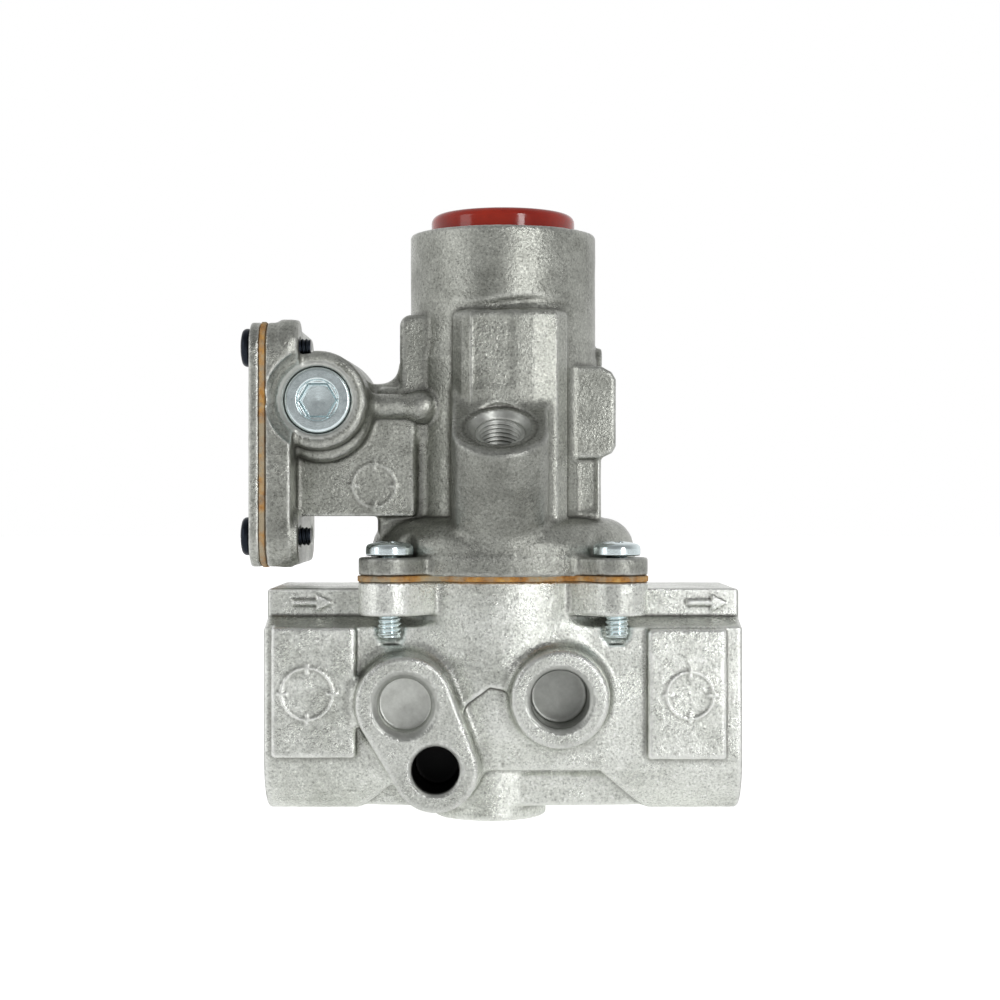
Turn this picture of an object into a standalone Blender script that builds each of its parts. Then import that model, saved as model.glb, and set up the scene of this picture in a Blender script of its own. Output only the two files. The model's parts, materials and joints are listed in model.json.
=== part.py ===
"""Gas safety valve with a manual reset button, as an assembly of separate pieces.

Frame: +Z up along the tower, +X towards the outlet, -Y the front. The origin is on the base pad,
under the tower's axis. Every size below is in millimetres; MM turns it into metres.
"""
import math

import bmesh
import bpy
from mathutils import Matrix, Vector

MM = 0.001
SEAT_GAP = 0.3                 # free space left between pieces that rest on each other

# Lower body
HALF_LENGTH = 49.4             # port face to tower axis
PIPE_Z = 25.2                  # pipe axis above the base pad
PORT_TOP = 49.4
PORT_BORE_R = 14.8
PORT_BORE_DEPTH = 21.0
CHAMBER_R = 26.0
BODY_TOP = 51.2
BOWL_BOTTOM = 11.0             # the chamber's rounded underside, between foot and ports
FOOT_R = 12.1
FOOT_X = -2.85                 # the foot is an oblong, long in Y
FOOT_LENGTH = 8.0
SPRING_WELL_R = 8.6            # well for the closing spring, under the seat
WELL_FLOOR = 5.0
DISC_FLOOR = 17.5              # the valve disc moves between this and the seat
SEAT_WALL = (27.0, 33.0)       # wall between the two chambers
SEAT_HOLE_R = 11.3
UPPER_CHAMBER_R = 19.0
PASSAGE_R = 8.0
INLET_PASSAGE_Z = 15.5
OUTLET_PASSAGE_Z = 37.5
BOSS_FACE = 30.0               # the front bosses end this far in front of the axis
ROUND_BOSS = (11.5, 27.6)      # X and Z of the bosses' centres
TWIN_UPPER = (-20.0, 26.4)
TWIN_LOWER = (-13.7, 13.3)
SCREW_PITCH = 23.3             # bonnet screws sit at plus and minus this, in X and in Y
EAR_R = 6.35
EAR_BOTTOM = 44.3

# Bonnet and tower
FLANGE_BOTTOM = 52.5
FLANGE_TOP = 56.2
FLANGE_R = 28.3
FLANGE_HOLE_R = 2.8
TOWER_R = 20.0
TOWER_TOP = 125.2
TOWER_BORE_R = 16.0
TOWER_STEP = 104.0             # ledge that carries the guide plate
MAGNET_ROOM_R = 14.0
MAGNET_LEDGE = 66.0
LOWER_ROOM_R = 12.0
SLANT = (0.0, -0.588, 0.809)   # direction that the thermocouple port faces
SLANT_MOUTH = (-0.6, -29.0, 82.8)

# Side arm
ARM_Z = 79.9
FILTER_ROOM_R = 11.3
PLUG_X = -38.3
PLUG_Z = 88.5
SIDE_PLATE_Z = 79.35           # middle of the square plate
SIDE_FLANGE_X = (-48.7, -44.2)
SIDE_PAD_X = -41.4
SIDE_SCREW_PITCH = 19.5
SIDE_SCREW_LENGTH = 12.5       # the front pair shows behind the flange
REAR_SCREW_LENGTH = 8.0        # the rear pair ends inside it
SIDE_HALF = (25.5, 25.25)      # half sizes of the square flange in Y and Z
COVER_X = (-52.0, -49.9)

# Mechanism
TRAVEL = 4.0                   # stroke of the button and of the valve
BUTTON_R = 15.5
BUTTON_TOP = 129.4
POLE_TOP = 86.0
ARMATURE_BOTTOM = POLE_TOP + SEAT_GAP + TRAVEL


def clear_scene():
    for item in list(bpy.data.objects):
        bpy.data.objects.remove(item, do_unlink=True)


def material(name, colour, roughness, metallic):
    made = bpy.data.materials.new(name)
    made.use_nodes = True
    shader = made.node_tree.nodes["Principled BSDF"]
    shader.inputs["Base Color"].default_value = (*colour, 1.0)
    shader.inputs["Roughness"].default_value = roughness
    shader.inputs["Metallic"].default_value = metallic
    return made


def facing(axis, at):
    """A placement whose local Z points along axis and whose origin is at, in millimetres."""
    up = Vector(axis).normalized()
    side = Vector((1, 0, 0)) if abs(up.x) < 0.9 else Vector((0, 1, 0))
    across = up.cross(side).normalized()
    side = across.cross(up)
    turn = Matrix((side, across, up)).transposed().to_4x4()
    return Matrix.Translation(Vector(at) * MM) @ turn


def finish(name, bm, look, place=None):
    """Turn a bmesh in millimetres into an object in metres, with closed outward faces."""
    bmesh.ops.remove_doubles(bm, verts=bm.verts, dist=1e-5)
    bmesh.ops.scale(bm, vec=(MM, MM, MM), verts=bm.verts)
    bmesh.ops.recalc_face_normals(bm, faces=bm.faces)
    mesh = bpy.data.meshes.new(name)
    bm.to_mesh(mesh)
    bm.free()
    mesh.shade_smooth()
    mesh.set_sharp_from_angle(angle=math.radians(35))
    item = bpy.data.objects.new(name, mesh)
    bpy.context.scene.collection.objects.link(item)
    if place is not None:
        item.matrix_world = place
    if look is not None:
        mesh.materials.append(look)
    return item


def turned(name, profile, look=None, axis=(0, 0, 1), at=(0, 0, 0), steps=32, ring=False):
    """Spin a profile of (radius, height) points about the placement's local Z."""
    bm = bmesh.new()
    corners = [bm.verts.new((radius, 0, height)) for radius, height in profile]
    edges = [bm.edges.new(pair) for pair in zip(corners, corners[1:])]
    if ring:
        edges.append(bm.edges.new((corners[-1], corners[0])))
    bmesh.ops.spin(bm, geom=corners + edges, cent=(0, 0, 0), axis=(0, 0, 1),
                   angle=2 * math.pi, steps=steps, use_merge=True)
    return finish(name, bm, look, facing(axis, at))


def rod(name, radius, low, high, look=None, axis=(0, 0, 1), at=(0, 0, 0), steps=32):
    """A plain cylinder from low to high along the placement's local Z."""
    profile = [(0, low), (radius, low), (radius, high), (0, high)]
    return turned(name, profile, look, axis, at, steps)


def sleeve(name, inner, outer, low, high, look=None, axis=(0, 0, 1), at=(0, 0, 0), steps=32):
    """A plain tube from low to high along the placement's local Z."""
    profile = [(inner, low), (outer, low), (outer, high), (inner, high)]
    return turned(name, profile, look, axis, at, steps, ring=True)


def o_ring(name, ring_r, cord_r, look, axis, at, steps=18, sides=6):
    profile = [(ring_r + cord_r * math.cos(2 * math.pi * k / sides),
                cord_r * math.sin(2 * math.pi * k / sides)) for k in range(sides)]
    return turned(name, profile, look, axis, at, steps, ring=True)


def hull(name, points, look=None):
    """The convex solid around a handful of points."""
    bm = bmesh.new()
    for point in points:
        bm.verts.new(point)
    bmesh.ops.convex_hull(bm, input=bm.verts)
    bmesh.ops.delete(bm, geom=[v for v in bm.verts if not v.link_faces], context='VERTS')
    bmesh.ops.dissolve_limit(bm, angle_limit=math.radians(0.5), verts=bm.verts, edges=bm.edges)
    return finish(name, bm, look)


def box(name, low, high, look=None):
    points = [(x, y, z) for x in (low[0], high[0]) for y in (low[1], high[1])
              for z in (low[2], high[2])]
    return hull(name, points, look)


def prism(name, outline, low, high, look=None, axis=(0, 0, 1), at=(0, 0, 0)):
    """Extrude a flat outline of (u, v) points from low to high along the placement's local Z."""
    bm = bmesh.new()
    face = bm.faces.new([bm.verts.new((u, v, low)) for u, v in outline])
    grown = bmesh.ops.extrude_face_region(bm, geom=[face])["geom"]
    moved = [item for item in grown if isinstance(item, bmesh.types.BMVert)]
    bmesh.ops.translate(bm, vec=(0, 0, high - low), verts=moved)
    return finish(name, bm, look, facing(axis, at))


def arc(centre, radius, start, end, count):
    """Points on an arc, angles in degrees."""
    angles = [math.radians(start + (end - start) * k / count) for k in range(count + 1)]
    return [(centre[0] + radius * math.cos(a), centre[1] + radius * math.sin(a)) for a in angles]


def round_rectangle(half_u, half_v, radius, centre=(0, 0), count=4):
    points = []
    for quarter, (su, sv) in enumerate(((1, 1), (-1, 1), (-1, -1), (1, -1))):
        middle = (centre[0] + su * (half_u - radius), centre[1] + sv * (half_v - radius))
        points += arc(middle, radius, 90 * quarter, 90 * quarter + 90, count)
    return points


def as_tool(item):
    item.hide_render = True
    item.display_type = 'WIRE'
    return item


def combine(target, tools, operation):
    for tool in tools:
        boolean = target.modifiers.new(tool.name, 'BOOLEAN')
        boolean.operation = operation
        boolean.solver = 'EXACT'
        boolean.object = as_tool(tool)
    return target


def fuse(target, *tools):
    return combine(target, tools, 'UNION')


def cut(target, *tools):
    return combine(target, tools, 'DIFFERENCE')


def coil(name, ring_r, wire_r, start, turns, lift, look, axis=(0, 0, 1), at=(0, 0, 0)):
    """A helical spring along the placement's local Z, its wire's centre from start to start + lift."""
    per_turn = 12
    count = int(turns * per_turn)
    curve = bpy.data.curves.new(name, 'CURVE')
    curve.dimensions = '3D'
    curve.bevel_depth = wire_r * MM
    curve.bevel_resolution = 1
    curve.use_fill_caps = True
    line = curve.splines.new('POLY')
    line.points.add(count)
    for k, point in enumerate(line.points):
        angle = 2 * math.pi * k / per_turn
        height = start + lift * k / count
        point.co = (ring_r * math.cos(angle) * MM, ring_r * math.sin(angle) * MM, height * MM, 1)
    curve.materials.append(look)
    item = bpy.data.objects.new(name, curve)
    bpy.context.scene.collection.objects.link(item)
    item.matrix_world = facing(axis, at)
    return item


def wire(name, route, wire_r, look):
    """A thin wire along a smooth curve through the route's points."""
    points = [Vector(p) for p in route]
    ends = [points[0] * 2 - points[1]] + points + [points[-1] * 2 - points[-2]]
    smooth = []
    for a, b, c, d in zip(ends, ends[1:], ends[2:], ends[3:]):
        for k in range(3):
            t = k / 3
            smooth.append(0.5 * (2 * b + (c - a) * t + (2 * a - 5 * b + 4 * c - d) * t * t
                                 + (3 * b - a - 3 * c + d) * t ** 3))
    smooth.append(points[-1])
    curve = bpy.data.curves.new(name, 'CURVE')
    curve.dimensions = '3D'
    curve.bevel_depth = wire_r * MM
    curve.bevel_resolution = 1
    curve.use_fill_caps = True
    line = curve.splines.new('POLY')
    line.points.add(len(smooth) - 1)
    for spot, point in zip(line.points, smooth):
        spot.co = (*(point * MM), 1)
    curve.materials.append(look)
    item = bpy.data.objects.new(name, curve)
    bpy.context.scene.collection.objects.link(item)
    return item


def corner_spots(pitch):
    return [(-pitch, -pitch), (pitch, -pitch), (pitch, pitch), (-pitch, pitch)]


def on_slant(depth):
    """The point at a depth along the thermocouple port's axis, inwards from its mouth."""
    return tuple(m - s * depth for m, s in zip(SLANT_MOUTH, SLANT))


# ---------------------------------------------------------------- lower body

def port_outline():
    """Half of the port section is drawn, then mirrored: a flat top, a ledge, a rounded bottom."""
    half = [(15.0, PORT_TOP), (15.0, 43.5), (21.5, 41.7)]
    half += [(y, z) for y, z in arc((9.7, 14.7), 11.8, 0, -90, 6)]
    return half + [(-y, z) for y, z in reversed(half)]


def port_section():
    """The bar that holds both ports, narrowed underneath next to the chamber."""
    bar = prism("port_section", port_outline(), -HALF_LENGTH, HALF_LENGTH, axis=(1, 0, 0))
    waist = hull("waist", [(side * x, y, z) for side in (-1, 1) for y in (-23, 23)
                           for x, z in ((29.5, -1), (29.5, 3.4), (20, 12))])
    return cut(bar, waist)


def wrench_pads():
    """Raised rectangles with sloping edges, two on each side."""
    spans = ((29.7, 45.8, 14.7, 41.2), (-47.6, -30.3, 15.0, 41.4))
    return [hull("wrench_pad", [(x, side * y, z) for y, grow in ((23.6, 0), (18, 1.5))
                                for x in (x0 - grow, x1 + grow) for z in (z0 - grow, z1 + grow)])
            for side in (-1, 1) for x0, x1, z0, z1 in spans]


def lower_body(look):
    bowl = [(0, BOWL_BOTTOM)] + arc((13.5, 24.5), 12.4, -80, 0, 5)
    body = turned("lower_body", bowl + [(CHAMBER_R, 27.5), (CHAMBER_R, BODY_TOP), (0, BODY_TOP)],
                  look, steps=36)
    fuse(body, port_section())
    ears = [rod("ear", EAR_R, EAR_BOTTOM, BODY_TOP, at=(x, y, 0), steps=16)
            for x, y in corner_spots(SCREW_PITCH)]
    webs = [hull("ear_web", [(x * f, y * g, z) for z in (EAR_BOTTOM, BODY_TOP)
                             for f, g in ((0.45, 0.95), (1.02, 1.20), (1.20, 1.02), (0.95, 0.45))])
            for x, y in corner_spots(SCREW_PITCH)]
    oblong = arc((FOOT_X, 0), FOOT_R, 180, 360, 10) + arc((FOOT_X, FOOT_LENGTH), FOOT_R, 0, 180, 10)
    foot = prism("foot", oblong, 0, 16)
    low_web = hull("low_web", [(side * x, y, z) for side in (-1, 1) for y in (-10.5, 10.5)
                               for x, z in ((24.2, 9.8), (29.9, 3.4))])
    fuse(body, *ears, *webs)
    fuse(body, *wrench_pads(), foot, low_web)
    fuse(body, *front_bosses())
    return cut(body, *body_cutters())


def front_bosses():
    front = (0, -1, 0)
    round_boss = turned("round_boss", [(0, 8), (11.2, 8), (10.4, BOSS_FACE - 0.8), (9.6, BOSS_FACE),
                                       (0, BOSS_FACE)],
                        axis=front, at=(ROUND_BOSS[0], 0, ROUND_BOSS[1]), steps=28)
    lobes = []
    for depth, upper, lower in ((8, 11.2, 9.8), (BOSS_FACE - 0.8, 10.3, 9.0), (BOSS_FACE, 9.5, 8.2)):
        for centre, radius in ((TWIN_UPPER, upper), (TWIN_LOWER, lower)):
            lobes += [(u, -depth, v) for u, v in arc(centre, radius, 0, 342, 19)]
    return round_boss, hull("twin_boss", lobes)


def boss_hole(name, spot, profile, steps):
    """A hole into a front boss; the profile runs from its bottom to its mouth."""
    return turned(name, profile + [(profile[-1][0], BOSS_FACE + 3), (0, BOSS_FACE + 3)],
                  axis=(0, -1, 0), at=(spot[0], 0, spot[1]), steps=steps)


def body_cutters():
    tools = []
    for side in (-1, 1):
        tools.append(turned("port_bore", [(0, -PORT_BORE_DEPTH), (PORT_BORE_R, -PORT_BORE_DEPTH),
                                          (PORT_BORE_R, -1.8), (16.6, 0), (16.6, 4), (0, 4)],
                            axis=(side, 0, 0), at=(side * HALF_LENGTH, 0, PIPE_Z), steps=28))
    for name, side, start, height in (("inlet_passage", -1, 2, INLET_PASSAGE_Z),
                                      ("outlet_passage", 1, 17, OUTLET_PASSAGE_Z)):
        tools.append(rod(name, PASSAGE_R, start, 32, axis=(side, 0, 0), at=(0, 0, height), steps=18))
    wall_top = SEAT_WALL[1]
    tools.append(turned("chamber", [(0, WELL_FLOOR), (SPRING_WELL_R, WELL_FLOOR), (SPRING_WELL_R, DISC_FLOOR),
                                    (SEAT_HOLE_R, DISC_FLOOR), (SEAT_HOLE_R, wall_top),
                                    (UPPER_CHAMBER_R, wall_top), (UPPER_CHAMBER_R, 55), (0, 55)], steps=32))
    tools += [rod("ear_hole", 2.65, 43, 55, at=(x, y, 0), steps=12) for x, y in corner_spots(SCREW_PITCH)]
    tools += [rod("ear_relief", 4.6, 38.2, EAR_BOTTOM + 0.7, at=(x, y, 0), steps=14)
              for x, y in corner_spots(SCREW_PITCH)]
    tools.append(boss_hole("tap_hole", ROUND_BOSS, [(0, 18), (5.85, 20), (5.85, BOSS_FACE - 0.9),
                                                    (6.65, BOSS_FACE)], 22))
    tools.append(boss_hole("blind_hole", TWIN_UPPER, [(0, 22.6), (5.4, 25.2), (5.4, BOSS_FACE - 1.3),
                                                      (6.65, BOSS_FACE)], 22))
    tools.append(boss_hole("deep_hole", TWIN_LOWER, [(0, 15), (4.8, 16.5), (4.8, BOSS_FACE - 0.5),
                                                     (5.3, BOSS_FACE)], 20))
    return tools


# ---------------------------------------------------------------- bonnet and tower

def flange_outline(margin=0.0):
    """A round plate with four ears, as one outline."""
    points = []
    ear_r = EAR_R - margin
    plate_r = FLANGE_R - margin
    reach = SCREW_PITCH * math.sqrt(2)
    for quarter in range(4):
        middle = 45 + 90 * quarter
        spot = (reach * math.cos(math.radians(middle)), reach * math.sin(math.radians(middle)))
        points += arc((0, 0), plate_r, middle - 45, middle - 27, 3)
        points += arc(spot, ear_r, middle - 80, middle + 80, 6)
        points += arc((0, 0), plate_r, middle + 27, middle + 45, 3)[:-1]
    return points


def bonnet_tower(look):
    skirt = [(FLANGE_R - 0.1, FLANGE_BOTTOM), (28.4, 57.4), (27.6, 60.4), (25.4, 62.6), (21.6, 63.6),
             (20.6, 66)]
    tower = turned("bonnet_tower", [(0, FLANGE_BOTTOM)] + skirt + [
        (20.5, 99), (TOWER_R, 101), (TOWER_R, TOWER_TOP - 1), (TOWER_R - 1, TOWER_TOP), (0, TOWER_TOP)],
                   look, steps=36)
    plate = prism("bonnet_plate", flange_outline(), FLANGE_BOTTOM, FLANGE_TOP)
    block_sides = ((-10.4, -8), (-10.4, -18.2), (-8.6, -21.6), (-4, -23.2), (7, -23.2), (11.4, -21.4),
                   (13.3, -18), (13.3, -8))
    block = hull("front_block", [(x * f, y * f, z) for x, y in block_sides
                                 for z, f in ((60, 1), (106.6, 1), (107.6, 0.95))])
    slanted = hull("thermocouple_boss", [(x, y, z) for x in (-10.4, 9.2) for y, z in
                                         [(-20.2, 89.2), (-37.4, 76.7), (-37.6, 74.8), (-30, 61),
                                          (-26, 56.8), (-10, 55.5), (-10, 89.2)]])
    right_pad = hull("right_pad", [(12, -13.2, 77), (12, 13.2, 77), (23.7, -11, 79.9), (23.7, 11, 79.9),
                                   (23.7, -11, 92.4), (23.7, 11, 92.4), (12, -13.2, 95.4), (12, 13.2, 95.4)])
    panel = box("right_panel", (8, -13.6, 62), (20.6, 13.6, 78))
    left_rib = hull("left_rib", [(x, y, z) for y in (-6.4, 6.4) for x, z in
                                 [(-22.6, 90), (-22.6, 105.9), (-21.2, 107.5), (-15, 107.5), (-15, 90)]])
    arm = hull("arm", [(x, y, z) for x in (-47, -12) for y, z in
                       ((-12.8, 64.5), (-14, 65.7), (-14, 92.2), (-12.8, 93.4),
                        (12.8, 93.4), (14, 92.2), (14, 65.7), (12.8, 64.5))])
    plug_boss = turned("plug_boss", [(0, -11), (10.4, -11), (10.2, 21.2), (9.4, 22), (0, 22)],
                       axis=(0, -1, 0), at=(PLUG_X, 0, PLUG_Z), steps=28)
    fillet = hull("arm_fillet", [(x, y, z) for y in (-9, 9) for x, z in
                                 [(-30, 92), (-23.5, 95), (-21, 99), (-17, 101), (-17, 90), (-30, 90)]])
    fuse(tower, plate, block, slanted, right_pad, panel, left_rib, arm, plug_boss, fillet, side_flange())
    return cut(tower, *tower_cutters())


def side_outline(margin=0.0):
    return round_rectangle(SIDE_HALF[0] - margin, SIDE_HALF[1] - margin, 6.2 - margin)


def side_flange():
    """The square plate on the arm's end, with a raised pad at each screw."""
    plate = prism("side_flange", side_outline(), -SIDE_FLANGE_X[1], -SIDE_FLANGE_X[0],
                  axis=(-1, 0, 0), at=(0, 0, SIDE_PLATE_Z))
    pads = [rod("side_pad", 5.6, -SIDE_PAD_X, -SIDE_FLANGE_X[1] + 1, axis=(-1, 0, 0),
                at=(0, y, ARM_Z + z), steps=14) for y, z in corner_spots(SIDE_SCREW_PITCH)]
    return fuse(plate, *pads)


def tower_cutters():
    tools = [turned("tower_room", [(0, 50), (LOWER_ROOM_R, 50), (LOWER_ROOM_R, MAGNET_LEDGE),
                                   (MAGNET_ROOM_R, MAGNET_LEDGE), (MAGNET_ROOM_R, TOWER_STEP),
                                   (TOWER_BORE_R, TOWER_STEP), (TOWER_BORE_R, TOWER_TOP - 0.5),
                                   (TOWER_BORE_R + 0.6, TOWER_TOP), (TOWER_BORE_R + 0.6, 130), (0, 130)],
                    steps=32)]
    tools += [rod("flange_hole", FLANGE_HOLE_R, 50, 60, at=(x, y, 0), steps=12)
              for x, y in corner_spots(SCREW_PITCH)]
    tools += [rod("head_seat", 5.6, FLANGE_TOP - 0.05, 66, at=(x, y, 0), steps=16)
              for x, y in corner_spots(SCREW_PITCH)]
    tools.append(turned("slant_bore", [(0, -30.5), (1.6, -30.5), (1.6, -18), (3.2, -18), (3.2, -13),
                                       (4.5, -13), (4.5, -1.9), (6.2, -0.6), (8.25, -0.6), (8.25, 14),
                                       (0, 14)], axis=SLANT, at=SLANT_MOUTH, steps=20))
    left = (-1, 0, 0)
    tools.append(rod("filter_room", FILTER_ROOM_R, 34.5, 52, axis=left, at=(0, 0, ARM_Z), steps=28))
    tools.append(rod("pilot_passage", 2.5, 12, 36, axis=left, at=(0, 0, 74), steps=16))
    tools += [rod("side_hole", 2.15, 39.3, 52, axis=left, at=(0, y, ARM_Z + z), steps=10)
              for y, z in corner_spots(SIDE_SCREW_PITCH)]
    tools.append(turned("plug_bore", [(0, 3.4), (3.0, 3.4), (3.0, 12.5), (5.6, 12.5), (5.6, 15.7),
                                      (7.1, 15.7), (7.1, 21.2), (7.9, 22), (7.9, 26), (0, 26)],
                        axis=(0, -1, 0), at=(PLUG_X, 0, PLUG_Z), steps=22))
    return tools


# ---------------------------------------------------------------- gaskets, cover and fasteners

def bonnet_gasket(look):
    sheet = prism("bonnet_gasket", flange_outline(0.2), BODY_TOP + SEAT_GAP, FLANGE_BOTTOM - SEAT_GAP, look)
    holes = [rod("gasket_hole", FLANGE_HOLE_R, 50, 54, at=(x, y, 0), steps=12)
             for x, y in corner_spots(SCREW_PITCH)]
    return cut(sheet, rod("gasket_opening", 19.3, 50, 54, steps=28), *holes)


def side_stack(cover_look, gasket_look):
    """The side cover and the gasket under it share their outline and holes."""
    left = (-1, 0, 0)
    middle = (0, 0, SIDE_PLATE_Z)
    gasket = prism("side_gasket", side_outline(0.2), 48.95, 49.65, gasket_look, axis=left, at=middle)
    cover = prism("side_cover", side_outline(), -COVER_X[1], -COVER_X[0], cover_look, axis=left, at=middle)
    dome = turned("cover_dome", [(0, 51), (17, 51), (16.4, 52.3), (14.6, 52.8), (0, 52.8)],
                  axis=left, at=(0, 0, ARM_Z), steps=24)
    spots = corner_spots(SIDE_SCREW_PITCH)
    holes = [rod("cover_hole", 2.3, 48, 54, axis=left, at=(0, y, ARM_Z + z), steps=10) for y, z in spots]
    fuse(cover, dome)
    cut(cover, *holes)
    opening = rod("side_opening", FILTER_ROOM_R + 0.4, 48, 51, axis=left, at=(0, 0, ARM_Z), steps=24)
    cut(gasket, opening, *holes)
    return cover, gasket


def pan_screw(name, shank_r, head_r, head_height, length, look, axis, at):
    """A pan-head screw with a cross recess. Its placement is at the underside of the head."""
    bend = [(head_r * math.cos(math.radians(a)), head_height * (0.45 + 0.55 * math.sin(math.radians(a))))
            for a in (0, 25, 50)]
    screw = turned(name, [(0, -length), (shank_r - 0.5, -length), (shank_r, 0.6 - length), (shank_r, 0),
                          (head_r, 0), *bend, (head_r * 0.42, head_height), (0, head_height)],
                   look, axis, at, steps=12)
    arm, half = head_r * 0.5, head_r * 0.13
    cross = [(arm, -half), (arm, half), (half, half), (half, arm), (-half, arm), (-half, half),
             (-arm, half), (-arm, -half), (-half, -half), (-half, -arm), (half, -arm), (half, -half)]
    return cut(screw, prism(name + "_recess", cross, head_height * 0.4, head_height + 2, axis=axis, at=at))


def fasteners(zinc, black):
    for k, (x, y) in enumerate(corner_spots(SCREW_PITCH), start=1):
        pan_screw(f"bonnet_screw_{k}", 2.4, 4.9, 3.0, 16.8, zinc, (0, 0, 1), (x, y, FLANGE_TOP + SEAT_GAP))
    for k, (y, z) in enumerate(corner_spots(SIDE_SCREW_PITCH), start=1):
        shank = SIDE_SCREW_LENGTH if y < 0 else REAR_SCREW_LENGTH
        pan_screw(f"cover_screw_{k}", 1.9, 3.95, 2.0, shank, black, (-1, 0, 0),
                  (COVER_X[0] - SEAT_GAP, y, ARM_Z + z))


def hex_plug(look):
    """Socket plug: local Z runs out of the boss."""
    front = (0, -1, 0)
    at = (PLUG_X, 0, PLUG_Z)
    plug = turned("hex_plug", [(0, 17.0), (6.2, 17.0), (6.75, 17.6), (6.75, 21.2), (6.1, 21.8), (0, 21.8)],
                  look, front, at, steps=28)
    across = 6.35 / math.sqrt(3)
    hexagon = arc((0, 0), across, 0, 300, 5)
    dish = turned("plug_dish", [(0, 21.0), (4.1, 21.0), (4.5, 24), (0, 24)], axis=front, at=at, steps=24)
    return cut(plug, dish, prism("plug_socket", hexagon, 18.2, 24, axis=front, at=at))


# ---------------------------------------------------------------- pilot adjuster and filter

def pilot_adjuster(brass, rubber):
    """The needle turns and feeds along its thread; its seal rides with it without turning."""
    front = (0, -1, 0)
    at = (PLUG_X, 0, PLUG_Z)
    needle = turned("pilot_needle", [(0, 4.2), (0.5, 4.2), (2.0, 7.4), (2.7, 7.4), (2.7, 8.8), (1.7, 8.8),
                                     (1.7, 10.4), (2.7, 10.4), (2.7, 12.9), (4.3, 12.9), (4.3, 14.4),
                                     (0, 14.4)], brass, front, at, steps=20)
    cut(needle, prism("needle_slot", [(-5, -0.45), (5, -0.45), (5, 0.45), (-5, 0.45)], 13.5, 16,
                      axis=front, at=at))
    o_ring("needle_oring", 2.32, 0.5, rubber, front, (PLUG_X, -9.6, PLUG_Z))


def pilot_filter(felt, steel):
    left = (-1, 0, 0)
    sleeve("filter_element", 1.5, FILTER_ROOM_R - 0.4, 42.0, 44.4, felt, left, (0, 0, ARM_Z), steps=24)
    coil("filter_spring", 8.0, 0.45, 45.3, 2.5, 3.6, steel, left, (0, 0, ARM_Z))


# ---------------------------------------------------------------- valve, magnet and button

def valve_seat(brass, rubber):
    low, high = SEAT_WALL
    turned("seat_ring", [(7.5, low + 0.3), (11.0, low + 0.3), (11.0, 29.4), (10.0, 29.4), (10.0, 31.0),
                         (11.0, 31.0), (11.0, high + SEAT_GAP), (12.6, high + SEAT_GAP), (12.6, 35.2),
                         (8.6, 35.2), (7.5, 33.6)], brass, steps=24, ring=True)
    o_ring("seat_oring", 10.65, 0.5, rubber, (0, 0, 1), (0, 0, 30.2), steps=24)


def valve_train(steel, aluminium, rubber, iron):
    """Everything that the magnet holds down: armature, stem, disc, rubber facing and nut."""
    turned("valve_stem", [(0, 19.9), (1.5, 19.9), (1.5, 26.9), (4.3, 27.3), (4.3, 28.4), (1.5, 29.4),
                          (1.5, ARMATURE_BOTTOM + 2.1), (0, ARMATURE_BOTTOM + 2.1)], steel, steps=16)
    sleeve("valve_disc", 1.8, 10.3, 22.6, 26.0, aluminium, steps=24)
    sleeve("valve_rubber", 1.8, 9.9, 26.25, 26.95, rubber, steps=24)
    nut = prism("valve_nut", arc((0, 0), 3.2, 0, 300, 5), 20.3, 22.3, steel)
    cut(nut, rod("nut_hole", 1.8, 19, 24, steps=16))
    turned("armature", [(1.8, ARMATURE_BOTTOM), (10.6, ARMATURE_BOTTOM), (11, ARMATURE_BOTTOM + 0.4),
                        (11, ARMATURE_BOTTOM + 2.5), (1.8, ARMATURE_BOTTOM + 2.5)], iron, steps=24, ring=True)
    coil("closing_spring", 6.5, 0.6, 5.95, 5.5, 15.7, steel)


def magnet(steel, iron, copper):
    plate = sleeve("magnet_plate", 2.0, 13.7, MAGNET_LEDGE + SEAT_GAP, 68.0, steel, steps=32)
    cut(plate, rod("lead_hole", 1.0, 64, 70, at=(0, -8, 0), steps=12))
    leg_x = 7.6
    yoke = box("magnet_yoke", (-9.6, -3, 68.3), (9.6, 3, 71.0), iron)
    legs = [box("magnet_leg", (side * leg_x - 2, -3, 70), (side * leg_x + 2, 3, POLE_TOP))
            for side in (-1, 1)]
    fuse(yoke, *legs)
    cut(yoke, rod("yoke_hole", 2.0, 66, 73, steps=16))
    for k, side in enumerate((-1, 1), start=1):
        turned(f"magnet_coil_{k}", [(3.85, 71.4), (5.5, 71.4), (5.5, 83.6), (3.85, 83.6)], copper,
               at=(side * leg_x, 0, 0), steps=20, ring=True)


def thermocouple_contact(plastic, brass, copper):
    turned("contact_bush", [(1.2, -17.7), (2.9, -17.7), (2.9, -12.7), (4.1, -12.7), (4.1, -11.8),
                            (1.2, -11.8)],
           plastic, SLANT, SLANT_MOUTH, steps=20, ring=True)
    turned("contact_pin", [(0, -17.9), (0.9, -17.9), (0.9, -11.5), (2.2, -11.5), (2.2, -10.9), (1.4, -10.5),
                           (0, -10.4)], brass, SLANT, SLANT_MOUTH, steps=16)
    wire("contact_lead", [on_slant(18.3), on_slant(26), (-0.5, -11, 58.9), (0, -8.6, 58.6), (0, -8, 61),
                          (0, -8, 65), (0, -8, 69), (1.2, -7.4, 72), (2.4, -5.6, 73.5)], 0.5, copper)


def guide(steel, rubber):
    turned("guide_plate", [(2.8, 104.3), (15.7, 104.3), (15.7, 107.0), (2.8, 107.0), (2.8, 106.5),
                           (4.1, 106.5), (4.1, 105.1), (2.8, 105.1)], steel, steps=24, ring=True)
    o_ring("stem_oring", 3.4, 0.5, rubber, (0, 0, 1), (0, 0, 105.8))


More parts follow.
